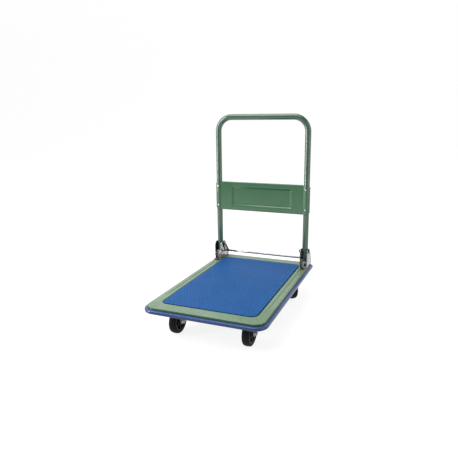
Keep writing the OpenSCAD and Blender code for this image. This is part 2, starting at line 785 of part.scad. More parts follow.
module rear_axle_left() rear_wheel_at(-1) axle();
module rear_axle_right() rear_wheel_at(1) axle();
module rear_axle_nut_left() rear_wheel_at(-1) axle_nut();
module rear_axle_nut_right() rear_wheel_at(1) axle_nut();
module rear_axle_sleeve_left() rear_wheel_at(-1) axle_sleeve();
module rear_axle_sleeve_right() rear_wheel_at(1) axle_sleeve();
module rear_tyre_left() rear_wheel_at(-1) tyre();
module rear_tyre_right() rear_wheel_at(1) tyre();
module rear_wheel_core_left() rear_wheel_at(-1) wheel_core();
module rear_wheel_core_right() rear_wheel_at(1) wheel_core();
module rear_bearing_left() rear_wheel_at(-1) bearing();
module rear_bearing_right() rear_wheel_at(1) bearing();

// Flush bolts of the casters: each head sits in its hole in the deck pan
module caster_bolts() color(zinc) at_casters() at_plate_bolts() {
    length = member_t + fork_t + nut_h(bolt_r) + 1.5;
    translate([0, 0, pan_z]) cylinder(r = bolt_head_r, h = deck_t - seat_gap);
    translate([0, 0, pan_z - length]) cylinder(r = bolt_r, h = length + over);
}

module caster_nuts() color(zinc) at_casters() at_plate_bolts()
    translate([0, 0, plate_z - nut_h(bolt_r)]) hex_nut(bolt_r, nut_h(bolt_r));

deck_plate();
front_cross_member();
rear_cross_member();
deck_rails();
deck_mat();
bumper_strip();
hinge_bracket_left();
hinge_bracket_right();
bracket_backing_plates();
bracket_bolts();
bracket_nuts();
caster_bolts();
caster_nuts();
pivot_bolt_left();
pivot_bolt_right();
pivot_nuts();
handle_tube();
cross_panel();
panel_rivets();
pivot_bushes();
heel_plugs();
release_bar();
latch_plate_left();
latch_plate_right();
release_spring_left();
release_spring_right();
front_fork_left();
front_fork_right();
front_axles();
front_axle_nuts();
front_axle_sleeves();
front_tyre_left();
front_tyre_right();
front_wheel_core_left();
front_wheel_core_right();
front_bearing_left();
front_bearing_right();
rear_top_plate_left();
rear_top_plate_right();
rear_kingpin_left();
rear_kingpin_right();
rear_swivel_balls_left();
rear_swivel_balls_right();
rear_fork_left();
rear_fork_right();
rear_axle_left();
rear_axle_right();
rear_axle_nut_left();
rear_axle_nut_right();
rear_axle_sleeve_left();
rear_axle_sleeve_right();
rear_tyre_left();
rear_tyre_right();
rear_wheel_core_left();
rear_wheel_core_right();
rear_bearing_left();
rear_bearing_right();
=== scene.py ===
"""Looks of the folding platform cart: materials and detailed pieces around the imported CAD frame.

Everything is in metres in the CAD frame: +X is the cart's right, +Y the handle end, +Z up, floor at z = 0.
Lengths written with MM are millimetres.
"""

import json
import math

import bpy
from mathutils import Euler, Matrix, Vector


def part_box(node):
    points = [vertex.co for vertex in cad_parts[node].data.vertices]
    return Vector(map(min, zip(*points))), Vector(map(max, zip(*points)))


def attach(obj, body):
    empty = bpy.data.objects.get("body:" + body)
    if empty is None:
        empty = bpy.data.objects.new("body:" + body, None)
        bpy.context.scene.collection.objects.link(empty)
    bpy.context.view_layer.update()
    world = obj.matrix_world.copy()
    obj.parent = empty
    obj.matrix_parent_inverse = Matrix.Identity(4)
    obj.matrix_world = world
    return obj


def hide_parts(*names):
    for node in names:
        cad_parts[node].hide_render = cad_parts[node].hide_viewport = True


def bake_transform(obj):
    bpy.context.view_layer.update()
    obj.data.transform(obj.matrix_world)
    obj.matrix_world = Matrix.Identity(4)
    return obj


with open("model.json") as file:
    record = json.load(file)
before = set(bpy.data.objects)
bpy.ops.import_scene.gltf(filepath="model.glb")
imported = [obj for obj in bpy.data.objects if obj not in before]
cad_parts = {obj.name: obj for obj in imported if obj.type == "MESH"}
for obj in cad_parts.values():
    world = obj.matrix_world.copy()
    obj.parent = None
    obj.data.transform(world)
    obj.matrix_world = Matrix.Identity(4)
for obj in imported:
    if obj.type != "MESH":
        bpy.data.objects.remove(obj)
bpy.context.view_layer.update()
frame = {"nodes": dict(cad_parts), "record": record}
NODES = frame["nodes"]
MM = 0.001
MAT_ACROSS, MAT_ALONG = 12.0, 21.0  # pitches of the mat's diamonds, mm
FLOOR_Y = -1.9  # centre of the floor disc, about under the camera
CASTER_TURN = 38.0  # turn of both rear casters at rest, degrees


# ---------------------------------------------------------------- camera, light and floor


def make_camera():
    """A camera at the photograph's viewing angle: in front of the cart, to its right, above the deck."""
    turn_left, look_down, roll = 0.368, 0.230, 0.005
    data = bpy.data.cameras.new("camera")
    data.sensor_width = 36.0
    data.lens = 35.08
    data.shift_x, data.shift_y = -0.0319, -0.0074
    camera = bpy.data.objects.new("camera", data)
    camera.location = (0.660, -1.639, 0.789)
    camera.rotation_euler = Euler((math.pi / 2 - look_down, roll, turn_left), "XYZ")
    bpy.context.scene.collection.objects.link(camera)
    bpy.context.scene.camera = camera


def area_light(name, place, target, size, power):
    """A rectangular lamp of the given width and height, aimed at the target."""
    data = bpy.data.lights.new(name, "AREA")
    data.shape = "RECTANGLE"
    data.size, data.size_y = size
    data.energy = power
    lamp = bpy.data.objects.new(name, data)
    lamp.location = place
    lamp.rotation_euler = (Vector(target) - Vector(place)).to_track_quat("-Z", "Y").to_euler()
    bpy.context.scene.collection.objects.link(lamp)


def make_light():
    """A wide soft box overhead and two upright ones that draw the highlights down the tubes."""
    area_light("top_light", (-0.5, -0.2, 2.7), (0, 0.05, 0.1), (2.4, 2.0), 58)
    area_light("left_strip", (-1.9, -1.5, 1.1), (0, 0.1, 0.45), (0.56, 2.2), 72)
    area_light("right_strip", (2.1, -0.7, 1.1), (0, 0.1, 0.45), (0.22, 2.2), 11)
    world = bpy.data.worlds.new("studio")
    bpy.context.scene.world = world
    world.use_nodes = True
    world.node_tree.nodes["Background"].inputs["Color"].default_value = (0.13, 0.135, 0.145, 1)
    bpy.context.scene.view_settings.view_transform = "Standard"


def make_floor():
    """A wide plain disc that curves up into a backdrop all round and glows less behind the camera."""
    flat_r, curve_r, height, sides = 5.6, 3.0, 9.0, 96
    profile = [(flat_r * k / 8, 0.0) for k in range(1, 9)]
    for k in range(1, 25):
        a = math.pi / 2 * k / 24
        profile.append((flat_r + curve_r * math.sin(a), curve_r * (1 - math.cos(a))))
    profile.append((flat_r + curve_r, height))
    vertices = []
    for radius, z in profile:
        for k in range(sides):
            a = 2 * math.pi * k / sides
            vertices.append((radius * math.cos(a), FLOOR_Y + radius * math.sin(a), z))
    faces = [tuple(range(sides))]
    for row in range(len(profile) - 1):
        for k in range(sides):
            beside = (k + 1) % sides
            faces.append((row * sides + k, (row + 1) * sides + k,
                          (row + 1) * sides + beside, row * sides + beside))
    mesh = bpy.data.meshes.new("floor")
    mesh.from_pydata(vertices, [], faces)
    mesh.shade_smooth()
    floor = bpy.data.objects.new("floor", mesh)
    bpy.context.scene.collection.objects.link(floor)
    material = bpy.data.materials.new("floor_white")
    material.use_nodes = True
    tree = material.node_tree
    shader = tree.nodes["Principled BSDF"]
    shader.inputs["Roughness"].default_value = 0.95
    shader.inputs["Specular IOR Level"].default_value = 0.1
    shader.inputs["Base Color"].default_value = (0.24, 0.24, 0.24, 1)
    shader.inputs["Emission Color"].default_value = (1, 1, 1, 1)
    split = tree.nodes.new("ShaderNodeSeparateXYZ")
    tree.links.new(tree.nodes.new("ShaderNodeTexCoord").outputs["Object"], split.inputs[0])
    fade = tree.nodes.new("ShaderNodeMapRange")
    dim_y, bright_y, dim, bright = -3.4, -1.6, 0.24, 0.84
    for socket, value in (("From Min", dim_y), ("From Max", bright_y), ("To Min", dim), ("To Max", bright)):
        fade.inputs[socket].default_value = value
    tree.links.new(split.outputs["Y"], fade.inputs["Value"])
    tree.links.new(fade.outputs["Result"], shader.inputs["Emission Strength"])
    mesh.materials.append(material)


# ---------------------------------------------------------------- material building blocks


class Finish:
    """One material: a Principled shader fed by procedural textures in the part's own metres."""

    def __init__(self, name):
        self.material = bpy.data.materials.new(name)
        self.material.use_nodes = True
        self.tree = self.material.node_tree
        self.shader = self.tree.nodes["Principled BSDF"]
        self.place = self.tree.nodes.new("ShaderNodeTexCoord").outputs["Object"]

    def node(self, kind, **settings):
        made = self.tree.nodes.new(kind)
        for key, value in settings.items():
            setattr(made, key, value)
        return made

    def link(self, source, target):
        self.tree.links.new(source, target)

    def set(self, **values):
        for key, value in values.items():
            self.shader.inputs[key.replace("_", " ")].default_value = value

    def stretched(self, scale):
        mapping = self.node("ShaderNodeMapping")
        mapping.inputs["Scale"].default_value = scale
        self.link(self.place, mapping.inputs["Vector"])
        return mapping.outputs["Vector"]

    def noise(self, scale, detail=4.0, roughness=0.55, distortion=0.0, vector=None):
        made = self.node("ShaderNodeTexNoise")
        made.inputs["Scale"].default_value = scale
        made.inputs["Detail"].default_value = detail
        made.inputs["Roughness"].default_value = roughness
        made.inputs["Distortion"].default_value = distortion
        self.link(vector or self.place, made.inputs["Vector"])
        return made.outputs["Fac"]

    def cells(self, scale):
        made = self.node("ShaderNodeTexVoronoi", feature="F1")
        made.inputs["Scale"].default_value = scale
        self.link(self.place, made.inputs["Vector"])
        return made.outputs["Distance"]

    def ramp(self, value, low, high, start=0.0, stop=1.0):
        """Maps value from low..high to start..stop, clamped."""
        made = self.node("ShaderNodeMapRange", clamp=True)
        made.inputs["From Min"].default_value = low
        made.inputs["From Max"].default_value = high
        made.inputs["To Min"].default_value = start
        made.inputs["To Max"].default_value = stop
        self.link(value, made.inputs["Value"])
        return made.outputs["Result"]

    def math(self, operation, a, b):
        made = self.node("ShaderNodeMath", operation=operation)
        for socket, value in zip(made.inputs, (a, b)):
            if isinstance(value, (int, float)):
                socket.default_value = value
            else:
                self.link(value, socket)
        return made.outputs[0]

    def mix(self, share, a, b):
        made = self.node("ShaderNodeMix", data_type="RGBA")
        self.link(share, made.inputs["Factor"])
        for socket, value in ((made.inputs[6], a), (made.inputs[7], b)):
            if isinstance(value, tuple):
                socket.default_value = (*value, 1)
            else:
                self.link(value, socket)
        return made.outputs[2]

    def colour(self, output):
        self.link(output, self.shader.inputs["Base Color"])

    def rough(self, output):
        self.link(output, self.shader.inputs["Roughness"])

    def bump(self, height, distance, strength=1.0):
        made = self.node("ShaderNodeBump")
        made.inputs["Distance"].default_value = distance
        made.inputs["Strength"].default_value = strength
        self.link(height, made.inputs["Height"])
        self.link(made.outputs["Normal"], self.shader.inputs["Normal"])

    def hollow_shade(self, reach):
        """Share of painted shade in corners and gaps narrower than the reach, in metres, from ambient
        occlusion.
        """
        made = self.node("ShaderNodeAmbientOcclusion", samples=4)
        made.inputs["Distance"].default_value = reach
        return self.ramp(made.outputs["AO"], 0.9, 0.35)

    def facing_up(self, low, high):
        """Share by the slope of the surface: 0 where the normal's Z is low, 1 where it is high, ragged."""
        split = self.node("ShaderNodeSeparateXYZ")
        self.link(self.node("ShaderNodeNewGeometry").outputs["Normal"], split.inputs[0])
        ragged = self.math("MULTIPLY", self.math("SUBTRACT", self.noise(30.0), 0.5), 0.25)
        return self.ramp(self.math("ADD", split.outputs["Z"], ragged), low, high)

    def depth_below(self, level, low, high):
        """Share by depth under a level of the part, both in metres."""
        split = self.node("ShaderNodeSeparateXYZ")
        self.link(self.place, split.inputs[0])
        return self.ramp(self.math("SUBTRACT", level, split.outputs["Z"]), low, high)

    def edges(self):
        """Share of wear on raised edges, from the mesh's own curvature."""
        return self.ramp(self.node("ShaderNodeNewGeometry").outputs["Pointiness"], 0.57, 0.70)


def enamel(name, base, pale, dark, coat, rough, shade_below=None):
    """Stove enamel on sheet steel: cloudy colour, fine orange peel, dust, painted shade in hollows and small
    chips on the edges.

    shade_below is a level of the part in metres; the turned-down edge and recess under it go dark green as
    painted shade.
    """
    f = Finish(name)
    cloud = f.ramp(f.noise(7.0, 5.0, 0.6), 0.35, 0.68)
    tone = f.mix(cloud, base, pale)
    grime = f.ramp(f.noise(38.0, 6.0, 0.7, 0.6), 0.58, 0.80, 0.0, 0.30)
    tone = f.mix(grime, tone, dark)
    speck = f.ramp(f.noise(420.0, 3.0, 0.6), 0.67, 0.75, 0.0, 0.45)
    tone = f.mix(speck, tone, dark)
    # painted shade: corners and gaps found by ambient occlusion darken towards a quarter of the dark colour
    tone = f.mix(f.math("MULTIPLY", f.hollow_shade(9.0 * MM), 0.9), tone, tuple(c * 0.25 for c in dark))
    if shade_below is not None:
        # painted shade: the recess and the turned-down edge under the deck's top go dark green
        recess = f.depth_below(shade_below, 1.3 * MM, 1.9 * MM)
        edge = f.math("MULTIPLY", f.depth_below(shade_below, 0.2 * MM, 0.9 * MM), f.facing_up(0.98, 0.85))
        sunk_shade = f.math("MULTIPLY", f.math("MAXIMUM", recess, edge), f.facing_up(-0.6, -0.3))
        tone = f.mix(f.math("MULTIPLY", sunk_shade, 0.94), tone, (0.007, 0.040, 0.024))
    chip = f.math("MULTIPLY", f.edges(), f.ramp(f.noise(160.0, 5.0, 0.75), 0.58, 0.64))
    tone = f.mix(chip, tone, (0.16, 0.15, 0.14))
    f.colour(tone)
    cloudy = f.ramp(f.noise(52.0, 5.0, 0.65), 0.3, 0.75, rough - 0.06, rough + 0.14)
    f.rough(f.math("ADD", cloudy, f.math("MULTIPLY", chip, 0.3)))
    peel = f.math("ADD", f.noise(650.0, 2.0, 0.5), f.math("MULTIPLY", f.noise(90.0, 3.0, 0.5), 1.4))
    f.bump(peel, 0.06 * MM, 0.5)
    f.set(Coat_Weight=coat, Coat_Roughness=0.035, Specular_IOR_Level=0.35)
    return f.material


def plated(name, bright, dull, rough, spangle=55.0):
    """Plated steel: bright metal with cloudy passivation, fine scratches, dull specks and painted shade in
    hollows.
    """
    f = Finish(name)
    cloud = f.ramp(f.noise(spangle, 5.0, 0.65, 0.4), 0.32, 0.72)
    tone = f.mix(cloud, dull, bright)
    stain = f.ramp(f.noise(210.0, 4.0, 0.7), 0.64, 0.74, 0.0, 0.35)
    tone = f.mix(stain, tone, (0.30, 0.28, 0.25))
    # painted shade: corners and gaps found by ambient occlusion darken towards near black
    tone = f.mix(f.math("MULTIPLY", f.hollow_shade(12.0 * MM), 0.75), tone, (0.05, 0.047, 0.042))
    f.colour(tone)
    streaks = f.noise(60.0, 4.0, 0.7, 0.0, f.stretched((1.0, 22.0, 22.0)))
    worn = f.math("ADD", f.math("MULTIPLY", cloud, 0.5), f.math("MULTIPLY", streaks, 0.5))
    f.rough(f.ramp(worn, 0.2, 0.8, max(rough - 0.05, 0.03), rough + 0.12))
    f.bump(f.math("ADD", f.noise(900.0, 3.0, 0.6), streaks), 0.03 * MM, 0.4)
    f.set(Metallic=1.0)
    return f.material


def moulded(name, base, pale, dark, rough, grain=700.0, shine=0.45, top_lit=None):
    """Moulded vinyl, nylon or rubber: fine grain, scuffs and dark specks.

    The last argument is a painted highlight colour for the faces that look up; those that look down then turn
    dark as painted shade.
    """
    f = Finish(name)
    cloud = f.ramp(f.noise(9.0, 5.0, 0.6), 0.3, 0.7)
    tone = f.mix(cloud, base, pale)
    scuff = f.ramp(f.noise(75.0, 6.0, 0.75, 1.2), 0.60, 0.74, 0.0, 0.30)
    tone = f.mix(scuff, tone, pale)
    speck = f.ramp(f.noise(520.0, 3.0, 0.6), 0.62, 0.74, 0.0, 0.45)
    tone = f.mix(speck, tone, dark)
    if top_lit:
        # painted highlight on faces that look up, painted shade on faces that look down
        tone = f.mix(f.facing_up(0.35, 0.85), tone, top_lit)
        tone = f.mix(f.facing_up(0.15, -0.35), tone, dark)
    f.colour(tone)
    f.rough(f.ramp(f.noise(120.0, 4.0, 0.6), 0.3, 0.7, rough - 0.07, rough + 0.10))
    pores = f.math("ADD", f.cells(grain), f.math("MULTIPLY", f.noise(grain * 0.4, 4.0, 0.6), 0.8))
    f.bump(pores, 0.08 * MM, 0.5)
    f.set(Specular_IOR_Level=shine)
    return f.material


def lattice(f, across, along):
    """1 on the ridges of the mat's diamond lattice, 0 between them; the two pitches are in metres."""
    found = None
    for lean in (1, -1):
        slope = f.node("ShaderNodeVectorMath", operation="DOT_PRODUCT")
        f.link(f.place, slope.inputs[0])
        slope.inputs[1].default_value = (1 / across, lean / along, 0)
        phase = f.math("FRACT", slope.outputs["Value"], 0.0)
        away = f.math("ABSOLUTE", f.math("SUBTRACT", phase, 0.5), 0.0)
        ridge = f.ramp(away, 0.30, 0.46)
        found = ridge if found is None else f.math("MAXIMUM", found, ridge)
    return found


def mat_vinyl():
    """The mat's ribbed vinyl: paler ridges in a diamond lattice, scuffs, specks and painted shade in hollows.
    """
    f = Finish("mat_vinyl")
    cloud = f.ramp(f.noise(9.0, 5.0, 0.6), 0.3, 0.7)
    tone = f.mix(cloud, (0.0065, 0.064, 0.215), (0.010, 0.078, 0.245))
    ridges = lattice(f, MAT_ACROSS * MM, MAT_ALONG * MM)
    ridge = f.math("MULTIPLY", ridges, f.ramp(f.noise(60.0), 0.3, 0.6, 0.25, 0.75))
    tone = f.mix(ridge, tone, (0.020, 0.106, 0.300))
    scuff = f.ramp(f.noise(34.0, 6.0, 0.75, 1.2), 0.60, 0.76, 0.0, 0.22)
    tone = f.mix(scuff, tone, (0.055, 0.145, 0.340))
    speck = f.ramp(f.noise(430.0, 3.0, 0.6), 0.62, 0.74, 0.0, 0.45)
    tone = f.mix(speck, tone, (0.010, 0.042, 0.14))
    # painted shade: edges and gaps found by ambient occlusion go dark blue
    tone = f.mix(f.hollow_shade(7.0 * MM), tone, (0.004, 0.016, 0.06))
    f.colour(tone)
    f.rough(f.ramp(f.noise(120.0, 4.0, 0.6), 0.3, 0.7, 0.42, 0.58))
    pores = f.math("ADD", f.cells(700.0), f.math("MULTIPLY", f.noise(280.0, 4.0, 0.6), 0.8))
    f.bump(pores, 0.10 * MM, 0.5)
    f.set(Specular_IOR_Level=0.10)
    return f.material


def make_materials():
    """Every material by its name: one for each slot, and one more for the swept tube, a copy of the handle
    paint with a greyer base colour as painted reflection.
    """
    return {
        "deck_paint": enamel(
            "deck_paint", (0.112, 0.186, 0.108), (0.164, 0.246, 0.158), (0.046, 0.09, 0.045),
            coat=0.06, rough=0.27, shade_below=DECK_TOP * MM),
        "handle_paint": enamel(
            "handle_paint", (0.028, 0.096, 0.040), (0.038, 0.116, 0.054), (0.02, 0.05, 0.028),
            coat=0.60, rough=0.16),
        # the swept tube's copy of the handle paint: its greyer, darker base colour is painted reflection
        "tube_sheen_paint": enamel(
            "tube_sheen_paint", (0.030, 0.074, 0.044), (0.042, 0.092, 0.058), (0.02, 0.045, 0.032),
            coat=0.90, rough=0.12),
        "mat_vinyl": mat_vinyl(),
        # the bumper's last colour is a painted highlight for its upward faces
        "bumper_vinyl": moulded(
            "bumper_vinyl", (0.008, 0.032, 0.120), (0.013, 0.043, 0.150), (0.003, 0.009, 0.035),
            rough=0.20, top_lit=(0.036, 0.078, 0.215)),
        "zinc": plated("zinc", (0.37, 0.38, 0.38), (0.22, 0.226, 0.225), 0.13),
        "chrome": plated("chrome", (0.44, 0.44, 0.48), (0.30, 0.30, 0.34), 0.10, 30.0),
        "dark_steel": plated("dark_steel", (0.20, 0.20, 0.21), (0.10, 0.10, 0.105), 0.34),
        "tyre_rubber": moulded(
            "tyre_rubber", (0.004, 0.004, 0.005), (0.010, 0.010, 0.011), (0.002, 0.002, 0.002),
            rough=0.55, grain=500.0, shine=0.07),
        "black_plastic": moulded(
            "black_plastic", (0.010, 0.010, 0.011), (0.018, 0.018, 0.020), (0.005, 0.005, 0.005),
            rough=0.42, grain=900.0, shine=0.15),
    }


# ---------------------------------------------------------------- mesh helpers


def add_mesh(name, vertices, faces, slot, body, stands_for=(), sharp_degrees=50, finish=None):
    """A mesh piece from vertices in millimetres; it rides on a CAD body and may stand for CAD nodes.

    Its material is the slot's, or the one named by finish. A piece with no body is attached to nothing here.
    """
    mesh = bpy.data.meshes.new(name)
    mesh.from_pydata([(x * MM, y * MM, z * MM) for x, y, z in vertices], [], faces)
    mesh.validate()
    mesh.shade_smooth()
    mesh.set_sharp_from_angle(angle=math.radians(sharp_degrees))
    made = bpy.data.objects.new(name, mesh)
    bpy.context.scene.collection.objects.link(made)
    made.data.materials.append(MATERIALS[finish or slot])
    if body:
        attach(made, body)
    if stands_for:
        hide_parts(*stands_for)
    return made


def stitch(rows, columns, closed_rows=False, closed_columns=False):
    """Quads between rows of equal length laid one after another."""
    faces = []
    for row in range(rows if closed_rows else rows - 1):
        following = (row + 1) % rows
        for column in range(columns if closed_columns else columns - 1):
            beside = (column + 1) % columns
            faces.append((row * columns + column, row * columns + beside,
                          following * columns + beside, following * columns + column))
    return faces


def flipped(faces):
    return [tuple(reversed(face)) for face in faces]


def sweep(path, radius, sides):
    """A round tube with flat ends along a path of points in millimetres, carried without twist."""
    path = [Vector(p) for p in path]
    count = len(path)
    tangents = []
    for i in range(count):
        before = path[i - 1] if i > 0 else path[i]
        after = path[i + 1] if i < count - 1 else path[i]
        tangents.append((after - before).normalized())
    side = tangents[0].orthogonal().normalized()
    vertices = []
    for point, tangent in zip(path, tangents):
        side = (side - tangent * side.dot(tangent)).normalized()
        up = tangent.cross(side)
        for k in range(sides):
            a = 2 * math.pi * k / sides
            vertices.append(point + (side * math.cos(a) + up * math.sin(a)) * radius)
    faces = stitch(count, sides, closed_columns=True)
    faces.append(tuple(reversed(range(sides))))
    faces.append(tuple((count - 1) * sides + k for k in range(sides)))
    return vertices, faces


def lathe(profile, centre, axis_angle, sides):
    """A closed ring turned about a level axle; profile points are (along the axle, radius)."""
    along = Vector((math.cos(axis_angle), math.sin(axis_angle), 0))
    level = Vector((-math.sin(axis_angle), math.cos(axis_angle), 0))
    up = Vector((0, 0, 1))
    vertices = []
    for k in range(sides):
        a = 2 * math.pi * k / sides
        spoke = level * math.cos(a) + up * math.sin(a)
        for offset, radius in profile:
            vertices.append(centre + along * offset + spoke * radius)
    return vertices, stitch(sides, len(profile), closed_rows=True, closed_columns=True)


def rounded_plan(half_w, y0, y1, r0, r1, stations):
    """Closed plan outline, anticlockwise from the rear left; every outline has the same number of points.

    stations holds shares of each straight run, so that outlines of different sizes match point by point.
    """
    points = []

    def straight(a, b, shares):
        for share in shares:
            points.append((a[0] + (b[0] - a[0]) * share, a[1] + (b[1] - a[1]) * share))

    def corner(cx, cy, r, start):
        for k in range(CORNER_STEPS):
            a = math.radians(start + 90 * k / CORNER_STEPS)
            points.append((cx + r * math.cos(a), cy + r * math.sin(a)))

    corner(-half_w + r1, y1 - r1, r1, 90)
    straight((-half_w, y1 - r1), (-half_w, y0 + r0), stations["left"])
    corner(-half_w + r0, y0 + r0, r0, 180)
    straight((-half_w + r0, y0), (half_w - r0, y0), stations["end"])
    corner(half_w - r0, y0 + r0, r0, 270)
    straight((half_w, y0 + r0), (half_w, y1 - r1), stations["right"])
    corner(half_w - r1, y1 - r1, r1, 0)
    straight((half_w - r1, y1), (-half_w + r1, y1), stations["end"])
    return points


CORNER_STEPS = 14


def smooth(x):
    """Eases from 0 to 1 as x goes from 0 to 1, and stays at the ends beyond them."""
    x = min(max(x, 0.0), 1.0)
    return x * x * (3 - 2 * x)


# ---------------------------------------------------------------- sizes read from the CAD frame


def millimetres(node):
    """The low and high corners of a CAD node's box, in millimetres."""
    low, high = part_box(node)
    return low / MM, high / MM


DECK_LOW, DECK_HIGH = millimetres("deck_plate")
MAT_LOW, MAT_HIGH = millimetres("deck_mat")
TUBE_LOW, TUBE_HIGH = millimetres("handle_tube")
PANEL_LOW, PANEL_HIGH = millimetres("cross_panel")
BAR_LOW, BAR_HIGH = millimetres("release_bar")
DECK_X, DECK_Y, DECK_TOP = DECK_HIGH.x, DECK_HIGH.y, DECK_HIGH.z
SHEET = 2.0
EDGE_R = 4.0
FRONT_R, REAR_R = 40.0, 14.0
RECESS = 2.0
MAT_GAP = 4.0
MAT_R = 24.0
MAT_RELIEF = 0.7
GROOVE_X, GROOVE_HALF, GROOVE_DEPTH = DECK_X - 23.0, 2.5, 1.2
GROOVE_Y0 = -DECK_Y + 140.0
TUBE_R = (TUBE_HIGH.y - TUBE_LOW.y) / 2
LEG_X = TUBE_HIGH.x - TUBE_R
LEG_Y = (TUBE_HIGH.y + TUBE_LOW.y) / 2
GROOVE_Y1 = LEG_Y - 61.0
PIVOT_Z = DECK_TOP + 72.0


# ---------------------------------------------------------------- deck


def groove_drop(x, y):
    """Depth of the pressed groove of each side border at a point of the deck's top."""
    beyond = max(GROOVE_Y0 - y, y - GROOVE_Y1, 0.0)
    away = math.hypot(abs(x) - GROOVE_X, beyond)
    return GROOVE_DEPTH * smooth((GROOVE_HALF + 0.9 - away) / 1.8)


def deck_stations():
    """Shares along the straight runs, closer together where the groove starts and ends."""
    run_low, run_high = -DECK_Y + FRONT_R, DECK_Y - REAR_R
    ys = {run_low + (run_high - run_low) * k / 44 for k in range(44)}
    for end in (GROOVE_Y0, GROOVE_Y1):
        ys |= {end + step * 0.6 for step in range(-8, 9)}
    shares = sorted((y - run_low) / (run_high - run_low) for y in ys)
    return {
        "right": shares,
        "left": [0.0] + sorted(1 - s for s in shares if s > 0),
        "end": [k / 26 for k in range(26)],
    }


def deck_shell():
    """The pressed deck: turned-down edge and lip, rounded bend, border with grooves, recess and pan."""
    stations = deck_stations()

    def outer(d):
        return rounded_plan(DECK_X - d, -DECK_Y + d, DECK_Y - d, FRONT_R - d, REAR_R - d, stations)

    def inner(d):
        r = MAT_R + MAT_GAP + d
        half_w = MAT_HIGH.x + MAT_GAP + d
        return rounded_plan(half_w, MAT_LOW.y - MAT_GAP - d, MAT_HIGH.y + MAT_GAP + d, r, r, stations)

    def between(share):
        return [(a[0] + (b[0] - a[0]) * share, a[1] + (b[1] - a[1]) * share)
                for a, b in zip(outer(EDGE_R), inner(1.6))]

    def skin(depth, bend_r):
        """One face of the sheet, from the lip to the pan; depth is 0 for the top face."""
        found = [(outer(8.0), -20.0 + depth), (outer(2.2), -20.0 + depth)]
        if depth == 0:
            found.append((outer(0.6), -19.4))
        found.append((outer(depth), -18.0 + depth * 0.2))
        found.append((outer(depth), -12.0))
        for k in range(7):
            a = math.radians(90 * k / 6)
            found.append((outer(EDGE_R - bend_r * math.cos(a)), -EDGE_R + bend_r * math.sin(a)))
        first, last = DECK_X - EDGE_R, MAT_HIGH.x + MAT_GAP + 1.6
        marks = [first - 5, GROOVE_X + 5.5, GROOVE_X + 3.6, GROOVE_X + 3, GROOVE_X + 2.4, GROOVE_X + 1.8,
                 GROOVE_X + 0.9, GROOVE_X, GROOVE_X - 0.9, GROOVE_X - 1.8, GROOVE_X - 2.4, GROOVE_X - 3,
                 GROOVE_X - 3.6, GROOVE_X - 5.5, last + 5, last]
        for mark in marks:
            found.append((between((first - mark) / (first - last)), -depth))
        wall = [(1.1, -0.12), (0.7, -0.4), (0.4, -0.9), (0.1, -1.4), (-0.5, -1.85), (-1.4, -RECESS)]
        for d, z in wall:
            found.append((inner(d + depth * 0.8), z - depth))
        found.append((inner(-12.0), -RECESS - depth))
        return found

    top = skin(0.0, EDGE_R)
    underside = skin(SHEET, EDGE_R - SHEET)
    rings = list(reversed(underside)) + top
    count = len(top[0][0])
    vertices = []
    for outline, z in rings:
        for x, y in outline:
            drop = groove_drop(x, y) if -SHEET - 0.01 <= z <= 0 else 0.0
            vertices.append((x, y, DECK_TOP + z - drop))
    faces = stitch(len(rings), count, closed_columns=True)
    faces.append(tuple(range(count)))
    faces.append(tuple(reversed([(len(rings) - 1) * count + k for k in range(count)])))
    add_mesh("deck_shell", vertices, flipped(faces), "deck_paint", "root", ["deck_plate"], 60)


def mat_sheet():
    """The mat: a thick vinyl sheet with rounded edges and a raised lattice of long diamonds."""
    round_r = 1.1
    half_w = MAT_HIGH.x - round_r
    y0, y1 = MAT_LOW.y + round_r, MAT_HIGH.y - round_r
    r = MAT_R - round_r

    def pattern(x, y):
        inset = min(half_w - abs(x), y - y0, y1 - y)
        edge = smooth((inset - 5.0) / 2.0)
        a = abs(((x / MAT_ACROSS + y / MAT_ALONG) % 1.0) - 0.5) * 2
        b = abs(((x / MAT_ACROSS - y / MAT_ALONG) % 1.0) - 0.5) * 2
        ridge = max(smooth((a - 0.60) / 0.32), smooth((b - 0.60) / 0.32))
        return MAT_RELIEF * (ridge * edge - 1)

    columns = 233
    rows = []
    steps = 12
    for k in range(steps):
        rows.append(y0 + r * (1 - math.cos(math.pi / 2 * k / steps)))
    middle = 264
    for k in range(middle + 1):
        rows.append(y0 + r + (y1 - y0 - 2 * r) * k / middle)
    for k in range(1, steps + 1):
        rows.append(y1 - r * (1 - math.sin(math.pi / 2 * (1 - k / steps))) if k < steps else y1)
    rows = sorted(rows)
    vertices = []
    for y in rows:
        into = min(y - y0, y1 - y)
        reach = half_w
        if into < r:
            reach = half_w - r + math.sqrt(max(r * r - (r - into) ** 2, 0.0))
        for c in range(columns):
            x = reach * (2 * c / (columns - 1) - 1)
            vertices.append((x, y, MAT_HIGH.z + pattern(x, y)))
    faces = stitch(len(rows), columns)
    last = len(rows) - 1
    border = list(range(columns))
    border += [row * columns + columns - 1 for row in range(1, last + 1)]
    border += [last * columns + c for c in range(columns - 2, -1, -1)]
    border += [row * columns for row in range(last - 1, 0, -1)]

    def outward(x, y):
        cx = max(min(x, half_w - r), -half_w + r)
        cy = max(min(y, y1 - r), y0 + r)
        away = Vector((x - cx, y - cy, 0))
        return away.normalized() if away.length > 1e-6 else Vector((0, 0, 0))

    ring = border
    height = MAT_HIGH.z - MAT_RELIEF
    for out, down in ((0.45, 0.1), (0.8, 0.33), (1.0, 0.7), (1.1, 1.2), (1.1, 3.3)):
        start = len(vertices)
        for index in border:
            x, y, _ = vertices[index]
            n = outward(x, y)
            vertices.append((x + n.x * out, y + n.y * out, max(height - down, MAT_LOW.z)))
        fresh = list(range(start, start + len(border)))
        for k in range(len(border)):
            m = (k + 1) % len(border)
            faces.append((ring[k], fresh[k], fresh[m], ring[m]))
        ring = fresh
    faces.append(tuple(reversed(ring)))
    add_mesh("mat_sheet", vertices, faces, "mat_vinyl", "root", ["deck_mat"], 60)


